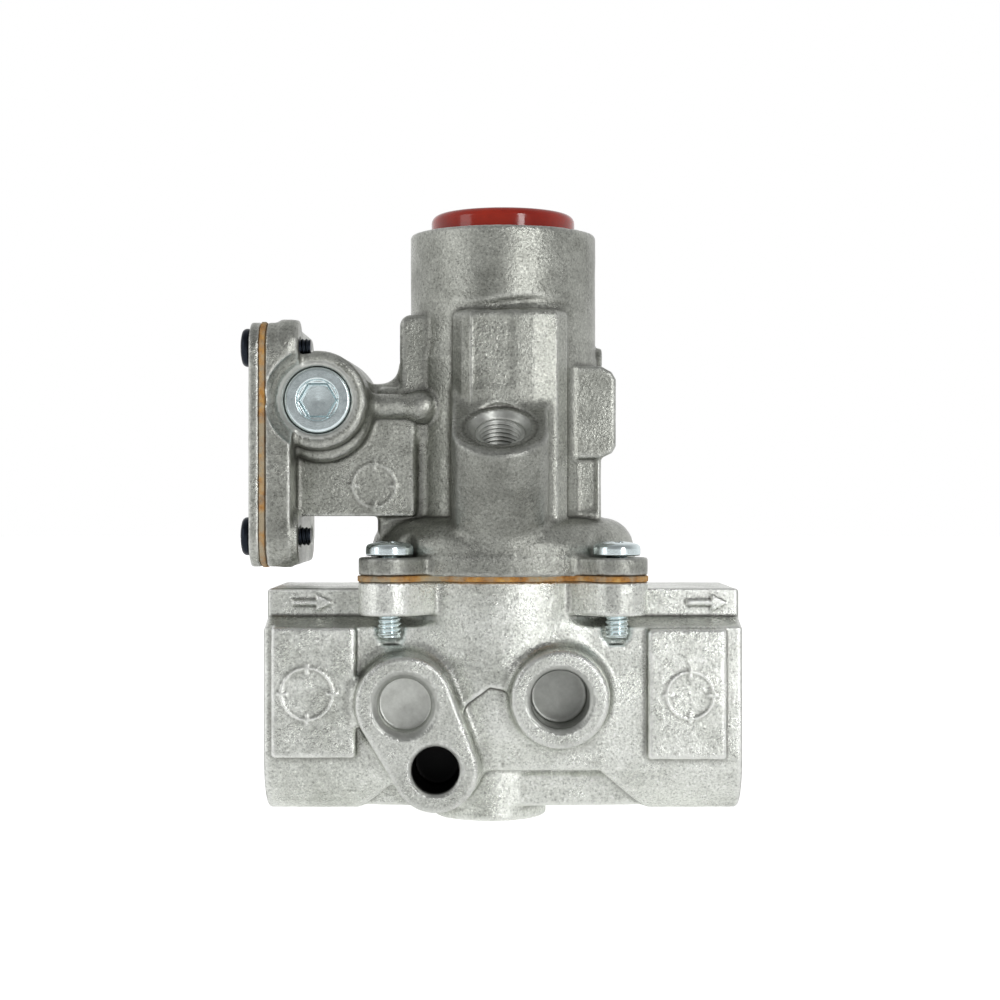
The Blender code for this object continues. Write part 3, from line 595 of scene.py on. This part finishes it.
def tower_relief(p, layers):
    """Casting skin, the shallow panel on the front block and turned ripples round the plug."""
    x, y, z = p.T
    panel = soft_step((x + 7.2) / 1.4) * soft_step((2.6 - x) / 1.4) * (y < -22)
    panel = panel * soft_step((z - 90.6) / 1.4) * soft_step((106.0 - z) / 1.4)
    reach = length(x - PLUG_X, z - PLUG_Z)
    ripples = np.cos(2 * np.pi * (reach - 7.6) / 1.15) * (y < -21.5) * (reach < 9.6) * (reach > 7.3)
    return cast_relief(p, layers) - 0.2 * panel + 0.05 * ripples


# ------------------------------------------------------------------ materials

def new_material(name, colour, roughness, metallic):
    made = bpy.data.materials.new(name)
    made.use_nodes = True
    shader = made.node_tree.nodes["Principled BSDF"]
    shader.inputs["Base Color"].default_value = (*colour, 1.0)
    shader.inputs["Roughness"].default_value = roughness
    shader.inputs["Metallic"].default_value = metallic
    return made, made.node_tree, shader


def node(tree, kind, **inputs):
    made = tree.nodes.new(kind)
    for key, value in inputs.items():
        made.inputs[key.replace("_", " ")].default_value = value
    return made


def noise_node(tree, scale, detail=4.0, rough=0.6):
    """Noise over the row's own coordinates, scale in features per metre."""
    place = tree.nodes.new("ShaderNodeTexCoord")
    made = node(tree, "ShaderNodeTexNoise", Scale=scale, Detail=detail, Roughness=rough)
    tree.links.new(place.outputs["Object"], made.inputs["Vector"])
    return made.outputs["Fac"]


def ramp(tree, source, stops):
    """Map a 0 to 1 value through (position, colour) stops."""
    made = tree.nodes.new("ShaderNodeValToRGB")
    band = made.color_ramp
    band.elements[0].position, band.elements[0].color = stops[0][0], tone(stops[0][1])
    band.elements[1].position, band.elements[1].color = stops[-1][0], tone(stops[-1][1])
    for position, colour in stops[1:-1]:
        band.elements.new(position).color = tone(colour)
    tree.links.new(source, made.inputs["Fac"])
    return made.outputs["Color"]


def tone(colour):
    return (*colour, 1.0) if isinstance(colour, tuple) else (colour, colour, colour, 1.0)


def mixed(tree, factor, low, high, mode='MIX'):
    made = tree.nodes.new("ShaderNodeMix")
    made.data_type = 'RGBA'
    made.blend_type = mode
    for socket, value in ((made.inputs[0], factor), (made.inputs[6], low), (made.inputs[7], high)):
        if isinstance(value, bpy.types.NodeSocket):
            tree.links.new(value, socket)
        elif socket == made.inputs[0]:
            socket.default_value = value
        else:
            socket.default_value = tone(value)
    return made.outputs[2]


def maths(tree, operation, a, b=0.0, third=0.0, clamp=False):
    made = tree.nodes.new("ShaderNodeMath")
    made.operation = operation
    made.use_clamp = clamp
    for socket, value in zip(made.inputs, (a, b, third)):
        if isinstance(value, bpy.types.NodeSocket):
            tree.links.new(value, socket)
        else:
            socket.default_value = value
    return made.outputs[0]


def layer(tree, name):
    made = tree.nodes.new("ShaderNodeAttribute")
    made.attribute_name = name
    return made.outputs["Fac"]


def bump(tree, shader, height, strength, distance):
    made = node(tree, "ShaderNodeBump", Strength=strength, Distance=distance)
    tree.links.new(height, made.inputs["Height"])
    tree.links.new(made.outputs["Normal"], shader.inputs["Normal"])


def cast_aluminium(name, dark, light, roughness, wear_and_highlight):
    """Granular die-cast skin with cloudy patches, edges lightened partly as wear and partly as painted
    highlight, painted shade in concave corners and from the shade layer, and bare machined faces.
    """
    made, tree, shader = new_material(name, light, roughness, 0.92)
    edge = layer(tree, "edge")
    bare = layer(tree, "machined")
    clouds = ramp(tree, noise_node(tree, 75, 6.0, 0.68), [(0.34, dark), (0.56, light), (0.72, light)])
    specks = ramp(tree, noise_node(tree, 1900, 3.0, 0.8),
                  [(0.32, 0.35), (0.47, 0.9), (0.56, 1.0), (0.7, 1.5)])
    skin = mixed(tree, 0.85, clouds, specks, 'MULTIPLY')
    # Lightened convex edges: partly wear, partly a painted highlight on the rounded rims.
    patchy = maths(tree, 'MULTIPLY', noise_node(tree, 600, 3.0), wear_and_highlight)
    worn_and_highlit = maths(tree, 'MULTIPLY', edge, patchy, clamp=True)
    skin = mixed(tree, worn_and_highlit, skin, (0.92, 0.93, 0.90))
    # Painted shade: concave corners and creases darkened towards dark grey.
    hollow = maths(tree, 'MULTIPLY', edge, -0.75, clamp=True)
    skin = mixed(tree, hollow, skin, (0.16, 0.157, 0.145))
    turned = ramp(tree, noise_node(tree, 500, 5.0, 0.7),
                  [(0.3, (0.47, 0.48, 0.45)), (0.7, (0.64, 0.655, 0.62))])
    skin = mixed(tree, bare, skin, turned)
    # Painted shade: the shade layer darkens the skin towards black.
    skin = mixed(tree, layer(tree, "shade"), skin, (0.008, 0.008, 0.008))
    tree.links.new(skin, shader.inputs["Base Color"])
    patches = noise_node(tree, 130, 4.0, 0.6)
    gloss = ramp(tree, patches, [(0.35, roughness - 0.08), (0.65, roughness + 0.1)])
    gloss = mixed(tree, bare, gloss, 0.4)
    tree.links.new(gloss, shader.inputs["Roughness"])
    coarse = ramp(tree, patches, [(0.4, 1.0), (0.62, 0.45)])
    sand, grit = noise_node(tree, 3200, 3.0, 0.6), noise_node(tree, 1400, 3.0, 0.65)
    fine = maths(tree, 'MULTIPLY_ADD', sand, 0.45, third=grit)
    fine = maths(tree, 'MULTIPLY', fine, coarse)
    fine = maths(tree, 'MULTIPLY', fine, maths(tree, 'MULTIPLY_ADD', bare, -0.93, third=1.0))
    bump(tree, shader, fine, 1.0, 0.00017)
    return made


def scaled(colour, share):
    return tuple(min(1.0, c * share) for c in colour)


def plated(name, colour, roughness, blotch=0.06):
    """Plated or turned metal with faint blotches."""
    made, tree, shader = new_material(name, colour, roughness, 1.0)
    low, high = scaled(colour, 1 - 2 * blotch), scaled(colour, 1 + blotch)
    tint = ramp(tree, noise_node(tree, 400, 4.0), [(0.3, low), (0.7, high)])
    tree.links.new(tint, shader.inputs["Base Color"])
    gloss = ramp(tree, noise_node(tree, 900, 3.0), [(0.3, roughness * 0.8), (0.7, roughness * 1.35)])
    tree.links.new(gloss, shader.inputs["Roughness"])
    bump(tree, shader, noise_node(tree, 2600, 3.0), 0.15, 0.00005)
    return made


def fibre(name):
    """Pressed fibre sheet: orange-brown, mottled, dirty grey in places."""
    made, tree, shader = new_material(name, (0.5, 0.3, 0.12), 0.85, 0.0)
    colour = ramp(tree, noise_node(tree, 330, 6.0, 0.75),
                  [(0.28, (0.10, 0.045, 0.015)), (0.45, (0.45, 0.20, 0.045)), (0.58, (0.62, 0.34, 0.09)),
                   (0.75, (0.70, 0.50, 0.22))])
    dirt = ramp(tree, noise_node(tree, 150, 5.0, 0.7), [(0.44, 0.0), (0.6, 0.85)])
    colour = mixed(tree, dirt, colour, (0.42, 0.375, 0.27))
    tree.links.new(colour, shader.inputs["Base Color"])
    bump(tree, shader, noise_node(tree, 2500, 5.0, 0.8), 0.8, 0.0002)
    return made


def glossy_red():
    made, tree, shader = new_material("red_button_plastic", (0.38, 0.02, 0.008), 0.22, 0.0)
    colour = ramp(tree, noise_node(tree, 120, 4.0),
                  [(0.3, (0.30, 0.014, 0.006)), (0.7, (0.44, 0.028, 0.009))])
    tree.links.new(colour, shader.inputs["Base Color"])
    gloss = ramp(tree, noise_node(tree, 700, 4.0), [(0.35, 0.09), (0.7, 0.19)])
    tree.links.new(gloss, shader.inputs["Roughness"])
    shader.inputs["Coat Weight"].default_value = 0.1
    bump(tree, shader, noise_node(tree, 1200, 2.0), 0.12, 0.00006)
    return made


def plain(name, colour, roughness, metallic=0.0, scale=900, depth=0.00008):
    """A mottled surface with a fine grain, scale in features per metre."""
    made, tree, shader = new_material(name, colour, roughness, metallic)
    tint = ramp(tree, noise_node(tree, scale, 4.0),
                [(0.3, scaled(colour, 0.75)), (0.7, scaled(colour, 1.2))])
    tree.links.new(tint, shader.inputs["Base Color"])
    gloss = ramp(tree, noise_node(tree, scale * 0.7, 3.0),
                 [(0.3, roughness * 0.85), (0.7, min(1.0, roughness * 1.15))])
    tree.links.new(gloss, shader.inputs["Roughness"])
    bump(tree, shader, noise_node(tree, scale * 2, 3.0), 0.3, depth)
    return made


# ------------------------------------------------------------------ small pieces

def thread(rho, angle, h, radius, depth, pitch):
    """Distance to a screw thread whose crest is at radius."""
    turn = h / pitch - angle / (2 * np.pi)
    tooth = np.abs(turn - np.floor(turn) - 0.5) * 2
    return rho - (radius - depth * tooth)


def cross_recess(a, b, h, size, top, depth):
    """A tapered cross sunk into a screw head."""
    sink = np.clip((top - h) / depth, 0, 1)
    width, reach = size * (0.17 - 0.04 * sink), size * (0.62 - 0.25 * sink)
    arm_a = np.maximum(np.abs(a) - reach, np.abs(b) - width)
    arm_b = np.maximum(np.abs(b) - reach, np.abs(a) - width)
    return np.maximum(np.minimum(arm_a, arm_b), (top - depth) - h)


def pan_screw_field(shank_r, head_r, head_height, shank, pitch, tooth):
    """A pan-head screw standing on its local origin, which is the underside of the head."""
    def field(x, y, z):
        rho = length(x, y)
        crown = length(rho, z - head_height + 3.2 * head_r) - 3.2 * head_r
        head = meet(meet(rho - head_r, slab(z, 0, head_height + 1), 0.35), crown, 0.7)
        core = thread(rho, np.arctan2(y, x), z, shank_r, tooth, pitch)
        shaft = meet(core, slab(z, -shank, 0.5), 0.5)
        solid = blend(head, shaft, 0.15)
        return carve(solid, cross_recess(x, y, z, head_r, head_height, head_height * 0.62), 0.12)
    return field


def screws(node_prefix, size, step, look, slot, places):
    """Screws of one size; those of equal length share a mesh."""
    made = {}
    for k, (at, turn, shank) in enumerate(places, start=1):
        name = f"{node_prefix}_{k}_detail"
        if shank not in made:
            reach = size["head_r"]
            piece = sculpt(name, pan_screw_field(shank=shank, **size), (-reach, -reach, -shank),
                           (reach, reach, size["head_height"]), step, look)
            made[shank] = piece.data
        else:
            piece = bpy.data.objects.new(name, made[shank])
            bpy.context.scene.collection.objects.link(piece)
        piece.location = Vector(at) * MM
        piece.rotation_euler = Euler(turn)
        stand_for(piece, slot, f"{node_prefix}_{k}")


def plug_field(x, y, z):
    """Socket plug in its boss, its face towards -Y."""
    depth = -y
    a, b = x - PLUG_X, z - PLUG_Z
    rho = length(a, b)
    body = meet(rho - PLUG_R, slab(depth, 17.0, PLUG_FACE), 0.7)
    dish = np.maximum(rho - 4.15 - 0.3 * (depth - 21.2), 21.15 - depth)
    body = carve(body, dish, 0.25)
    hexagon = np.maximum(np.abs(b), np.abs(a) * math.cos(math.pi / 6) + np.abs(b) * 0.5) - HEX_FLATS / 2
    hexagon = hexagon - 0.8 * np.clip(depth - 20.6, 0, 0.6)
    bottom = 18.2 + 0.05 * np.minimum(rho, 3.0)
    return carve(body, np.maximum(hexagon, bottom - depth), 0.12)


def button_field(x, y, z):
    """The hollow button with its hub and slightly dished top."""
    rho = length(x, y)
    shell = meet(rho - BUTTON_R, slab(z, 114, BUTTON_TOP), 1.7)
    hollow = meet(rho - 13.4, slab(z, 100, 126.2), 0.5)
    hub = meet(rho - 6.0, slab(z, 119, 128), 0.3)
    shell = np.minimum(carve(shell, hollow), hub)
    dished = length(rho, z - BUTTON_TOP - 150) - 150.1
    shell = carve(shell, dished, 0.5)
    return carve(shell, meet(rho - 2.8, slab(z, 110, 124.4), 0.1))


def gasket_field(x, y, z):
    points = np.stack(np.broadcast_arrays(x, y, z), axis=-1).reshape(-1, 3)
    ragged = noise(points, 3.2, 2.0) * 0.28 + noise(points, 1.1, 6.0) * 0.12
    ragged = ragged.reshape(np.broadcast(x, y, z).shape)
    sheet = np.maximum(flange_plate(x, y) - 0.1 + ragged, slab(z, 51.25, 52.45) + 0.25 * np.abs(ragged))
    sheet = np.maximum(sheet, 19.3 - length(x, y))
    return np.maximum(sheet, 2.8 - (all_corners(x, y, SCREW_PITCH, 0)))


def side_gasket_field(x, y, z):
    points = np.stack(np.broadcast_arrays(x, y, z), axis=-1).reshape(-1, 3)
    ragged = noise(points, 2.6, 4.0) * 0.2 + noise(points, 0.9, 8.0) * 0.08
    ragged = ragged.reshape(np.broadcast(x, y, z).shape)
    sheet = np.maximum(side_plate(y, z) - 0.05 + ragged, slab(x, -49.85, -48.75) + 0.2 * np.abs(ragged))
    sheet = np.maximum(sheet, 11.7 - length(y, z - ARM_Z))
    return np.maximum(sheet, 2.3 - all_corners(y, z - ARM_Z, SIDE_PITCH, 0))


def cover_field(x, y, z):
    plate = meet(side_plate(y, z), slab(x, -52.0, -49.9), 0.45)
    rho = length(y, z - ARM_Z)
    dome = meet(rho - 17 - 1.2 * (x + 52), slab(x, -52.8, -51), 0.4)
    solid = join(0.8, plate, dome)
    return carve(solid, meet(all_corners(y, z - ARM_Z, SIDE_PITCH, 2.3), slab(x, -60, -40), 0.1), 0.25)


def port_thread(side):
    """A lining with a coarse tapered pipe thread, just inside a port's mouth."""
    def field(x, y, z):
        inward = HALF_LENGTH - side * x
        rho = length(y, z - PIPE_Z)
        crest = 14.55 - 0.03 * inward
        turn = inward / 2.21 - side * np.arctan2(z - PIPE_Z, y) / (2 * np.pi)
        tooth = np.abs(turn - np.floor(turn) - 0.5) * 2
        inner = crest + 0.95 * tooth * np.clip((19.0 - inward) / 3.0, 0, 1)
        return meet(meet(rho - 15.2, inner - rho, 0.05), slab(inward, 1.4, 20.6), 0.2)
    return field


def slant_thread(x, y, z):
    """A thin threaded lining for the slanted port."""
    rho, height, across = slanted_axes(x, y, z)
    turn = height / 1.0 - np.arctan2(across, x - SLANT_MOUTH[0]) / (2 * np.pi)
    tooth = np.abs(turn - np.floor(turn) - 0.5) * 2
    return meet(meet(rho - 5.1, (4.1 + 0.6 * tooth) - rho, 0.03), slab(height, -12.8, -1.6), 0.15)


# ------------------------------------------------------------------ assembly

def bare_metal(p):
    return np.ones(len(p))


def make_castings():
    lower_look = cast_aluminium("lower_cast_aluminium", dark=(0.58, 0.597, 0.55), light=(0.85, 0.87, 0.82),
                                roughness=0.29, wear_and_highlight=1.5)
    tower_look = cast_aluminium("tower_cast_aluminium", dark=(0.29, 0.296, 0.265), light=(0.47, 0.48, 0.437),
                                roughness=0.33, wear_and_highlight=0.55)
    masks = {"machined": lower_machined, "pad": pad_mask, "shade": lower_shade}
    lower = sculpt("lower_body_casting", lower_body, (-HALF_LENGTH, -30, 0), (HALF_LENGTH, 30, 51.2),
                   CASTING_STEP, lower_look, cast_relief, masks)
    stand_for(lower, "lower_casting", "lower_body")
    masks = {"machined": tower_machined, "shade": tower_shade}
    tower = sculpt("bonnet_tower_casting", bonnet_tower, (-49, -40, 52.5), (30, 30, 125.2),
                   CASTING_STEP, tower_look, tower_relief, masks)
    stand_for(tower, "tower_casting", "bonnet_tower")
    cover = sculpt("side_cover_plate", cover_field, (-53, -26, 54), (-49.5, 26, 105), 0.35, tower_look,
                   lambda p, layers: 0.02 * grain(p, 1.0, 5.0), {"machined": lambda p: np.zeros(len(p))})
    stand_for(cover, "tower_casting", "side_cover")
    for side, name in ((-1, "inlet_thread"), (1, "outlet_thread")):
        ends = sorted((side * BORE_END, side * HALF_LENGTH))
        lining = sculpt(name, port_thread(side), (ends[0], -15.5, 9.5), (ends[1], 15.5, 41), 0.33,
                        lower_look, None, {"machined": bare_metal})
        stand_for(lining, "lower_casting")
    lining = sculpt("thermocouple_thread", slant_thread, (-6, -31, 68), (5, -15, 87), 0.14, tower_look,
                    None, {"machined": bare_metal})
    stand_for(lining, "tower_casting")


def make_small_pieces():
    zinc = plated("zinc_plate", (0.82, 0.92, 0.94), 0.2)
    black = plated("black_oxide_screw", (0.028, 0.034, 0.045), 0.32, 0.15)
    card = fibre("gasket_fibre")
    sheet = sculpt("bonnet_gasket_sheet", gasket_field, (-30, -30, 51.1), (30, 30, 52.6), 0.28, card)
    stand_for(sheet, "gasket", "bonnet_gasket")
    sheet = sculpt("side_gasket_sheet", side_gasket_field, (-50.1, -26, 54), (-48.5, 26, 105), 0.28, card)
    stand_for(sheet, "gasket", "side_gasket")
    plug = sculpt("hex_plug_detail", plug_field, (-45.2, -22, 81.6), (-31.4, -16.8, 95.4), 0.13, zinc)
    stand_for(plug, "zinc", "hex_plug")
    button = sculpt("reset_button_cap", button_field, (-15.6, -15.6, 114), (15.6, 15.6, BUTTON_TOP), 0.3,
                    glossy_red())
    stand_for(button, "red_button", "reset_button", body="reset_plunger")
    size = {"shank_r": 2.45, "head_r": 4.9, "head_height": 3.0, "pitch": 0.95, "tooth": 0.42}
    places = [((x, y, FLANGE_TOP + 0.3), (0, 0, 0.4 + 1.3 * k), 16.8)
              for k, (x, y) in enumerate(corners(SCREW_PITCH))]
    screws("bonnet_screw", size, 0.14, zinc, "zinc", places)
    size = {"shank_r": 1.95, "head_r": 3.95, "head_height": 2.0, "pitch": 0.8, "tooth": 0.35}
    places = [((-52.3, y, ARM_Z + z), (0, -math.pi / 2, 0), 12.5 if y < 0 else 8.0)
              for y, z in corners(SIDE_PITCH)]
    screws("cover_screw", size, 0.13, black, "black_screw", places)


def dress_inner_parts():
    """Finishes for the CAD pieces that keep their own shape."""
    looks = {
        "steel": plated("inner_spring_steel", (0.55, 0.55, 0.56), 0.3),
        "iron": plated("inner_soft_iron", (0.40, 0.40, 0.41), 0.42),
        "brass": plated("inner_brass", (0.78, 0.58, 0.26), 0.28),
        "copper": plain("enamelled_copper", (0.48, 0.17, 0.06), 0.35, 0.8, 3000),
        "rubber": plain("seal_rubber", (0.022, 0.022, 0.024), 0.7),
        "felt": plain("filter_felt", (0.62, 0.6, 0.54), 0.95, 0.0, 2200, 0.0003),
        "insulator": plain("insulating_bush", (0.07, 0.045, 0.03), 0.5),
        "lower_casting": plated("turned_aluminium", (0.72, 0.72, 0.71), 0.3),
    }
    slots = {entry["node"]: entry["material_slot"] for entry in frame["record"]["subparts"]}
    for name, item in frame["nodes"].items():
        look = looks.get(slots.get(name))
        if look is None or item.hide_render:
            continue
        for slot in item.material_slots:
            slot.material = look
        if not item.material_slots:
            item.data.materials.append(look)


def make_stage():
    """A white table, lit from below, that shows no horizon against the white backdrop."""
    mesh = bpy.data.meshes.new("floor")
    half = 3.0
    square = [(-half, -half, 0), (half, -half, 0), (half, half, 0), (-half, half, 0)]
    mesh.from_pydata(square, [], [(0, 1, 2, 3)])
    floor = bpy.data.objects.new("floor", mesh)
    bpy.context.scene.collection.objects.link(floor)
    pale, tree, shader = new_material("pale_floor", (0.85, 0.85, 0.85), 0.8, 0.0)
    shader.inputs["Emission Color"].default_value = (1.0, 1.0, 1.0, 1.0)
    seen = tree.nodes.new("ShaderNodeLightPath").outputs["Is Camera Ray"]
    glow = maths(tree, 'MULTIPLY_ADD', seen, 0.4, third=0.42)
    tree.links.new(glow, shader.inputs["Emission Strength"])
    mesh.materials.append(pale)


def area_light(name, azimuth, rise, reach, size, power):
    """A softbox aimed at the part; azimuth in degrees to the right of the camera's side."""
    turn = math.radians(azimuth)
    at = Vector((math.sin(turn) * reach, -math.cos(turn) * reach, rise))
    lamp = bpy.data.lights.new(name, 'AREA')
    lamp.shape = 'RECTANGLE'
    lamp.size, lamp.size_y = size
    lamp.energy = power
    item = bpy.data.objects.new(name, lamp)
    item.location = at
    item.rotation_euler = (Vector((0, 0, 0.065)) - at).to_track_quat('-Z', 'Y').to_euler()
    bpy.context.scene.collection.objects.link(item)


def make_lights():
    """A backdrop that grows darker towards the front and the ceiling, and two softboxes."""
    world = bpy.data.worlds.new("studio")
    bpy.context.scene.world = world
    world.use_nodes = True
    tree = world.node_tree
    sky = tree.nodes["Background"]
    place = tree.nodes.new("ShaderNodeTexCoord")
    parts = tree.nodes.new("ShaderNodeSeparateXYZ")
    tree.links.new(place.outputs["Generated"], parts.inputs[0])
    back = ramp(tree, maths(tree, 'MULTIPLY_ADD', parts.outputs["Y"], 0.5, third=0.5),
                [(0.0, 0.30), (0.3, 0.37), (0.55, 0.62), (1.0, 0.95)])
    up = ramp(tree, parts.outputs["Z"], [(0.25, 1.0), (0.8, 0.75)])
    studio = mixed(tree, 1.0, back, up, 'MULTIPLY')
    seen = tree.nodes.new("ShaderNodeLightPath").outputs["Is Camera Ray"]
    tree.links.new(mixed(tree, seen, studio, 1.0), sky.inputs["Color"])
    area_light("softbox_right", 29, 0.16, 0.8, (0.13, 0.6), 1.9)
    area_light("softbox_left", -62, 0.25, 0.9, (0.3, 0.6), 0.9)
    bpy.context.scene.view_settings.view_transform = 'Standard'


def make_camera():
    data = bpy.data.cameras.new("camera")
    data.sensor_width = 36.0
    data.lens = 68.4
    item = bpy.data.objects.new("camera", data)
    item.location = (-0.00065, -0.413, 0.0679)
    item.rotation_euler = (math.pi / 2, 0, 0)
    bpy.context.scene.collection.objects.link(item)
    bpy.context.scene.camera = item


make_camera()
make_castings()
make_small_pieces()
dress_inner_parts()
make_stage()
make_lights()
